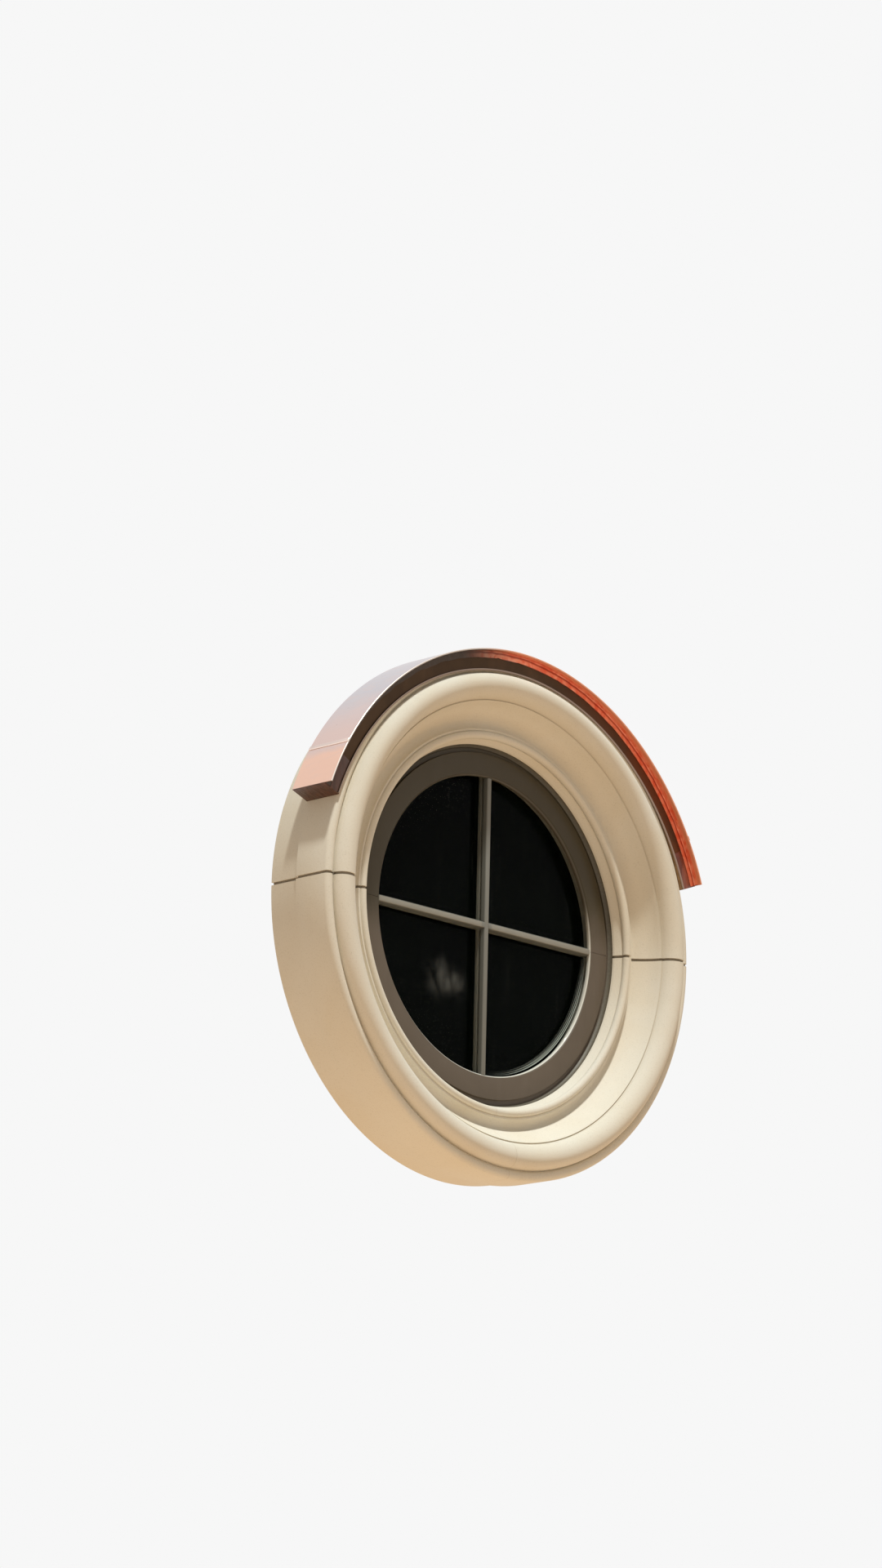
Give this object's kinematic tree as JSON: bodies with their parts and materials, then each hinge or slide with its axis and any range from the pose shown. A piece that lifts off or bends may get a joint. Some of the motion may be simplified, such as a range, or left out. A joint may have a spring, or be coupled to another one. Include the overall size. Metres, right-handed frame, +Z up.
{
  "type": "oculus window",
  "caption": "Round fixed window with a dark metal-faced frame and crossed glazing bars, set in a moulded cast stone ring under a short curved copper hood.",
  "frame": {"origin": "on the window's axis, in the plane of the ring-shaped seat behind the stone drum", "axes": "+Y inwards along the window's axis, +X to the right as seen from outside, +Z up"},
  "size_m": [1.3276, 0.228, 1.3151],
  "materials": {
    "cast_stone": "rubbed cast stone, matt",
    "mortar": "raked mortar, matt",
    "stainless": "plain stainless",
    "timber": "sealed softwood",
    "inside_timber": "painted off-white",
    "brown_facing": "satin dark brown coating",
    "bar_metal": "satin brown coating",
    "spacer_metal": "mill finish",
    "glass": "clear float glass",
    "sealant": "dark silicone",
    "edge_rubber": "black",
    "backing_foam": "grey closed-cell foam",
    "block_rubber": "dark rubber",
    "packer_plastic": "plain",
    "sheet_copper": "weathered pinkish brown copper sheet",
    "trim_copper": "warm red brown copper trim",
    "fascia_copper": "dark brown aged copper",
    "underlay_felt": "black underlay felt",
    "plywood": "bent plywood"
  },
  "bodies": {
    "root": {"surround_upper": "cast_stone", "surround_lower": "cast_stone", "mortar_joint_left": "mortar", "mortar_joint_right": "mortar", "joint_dowels": "stainless", "frame_core": "timber", "cladding_upper": "brown_facing", "cladding_lower": "brown_facing", "cladding_clips": "packer_plastic", "outer_pane": "glass", "inner_pane": "glass", "spacer_ring": "spacer_metal", "edge_seal": "edge_rubber", "glazing_tape_outer": "edge_rubber", "glazing_tape_inner": "edge_rubber", "setting_blocks": "block_rubber", "interior_stop_upper": "inside_timber", "interior_stop_lower": "inside_timber", "muntin_outer_vertical": "bar_metal", "muntin_outer_left": "bar_metal", "muntin_outer_right": "bar_metal", "muntin_core_vertical": "spacer_metal", "muntin_core_left": "spacer_metal", "muntin_core_right": "spacer_metal", "muntin_inner_vertical": "inside_timber", "muntin_inner_left": "inside_timber", "muntin_inner_right": "inside_timber", "frame_packers": "packer_plastic", "frame_screws": "stainless", "perimeter_sealant": "sealant", "backer_rod": "backing_foam", "inner_sealant": "sealant", "inner_backer_rod": "backing_foam", "hood_crown_sheet": "sheet_copper", "hood_side_sheet_left": "sheet_copper", "hood_side_sheet_right": "sheet_copper", "hood_underlay": "underlay_felt", "hood_deck": "plywood", "hood_front_rib": "timber", "hood_rear_rib": "timber", "hood_fascia": "fascia_copper", "hood_edge_strip": "trim_copper", "hood_end_cap_left": "trim_copper", "hood_end_cap_right": "trim_copper", "hood_brackets": "stainless", "bracket_anchors": "stainless", "bracket_screws": "stainless"}
  },
  "joints": []
}
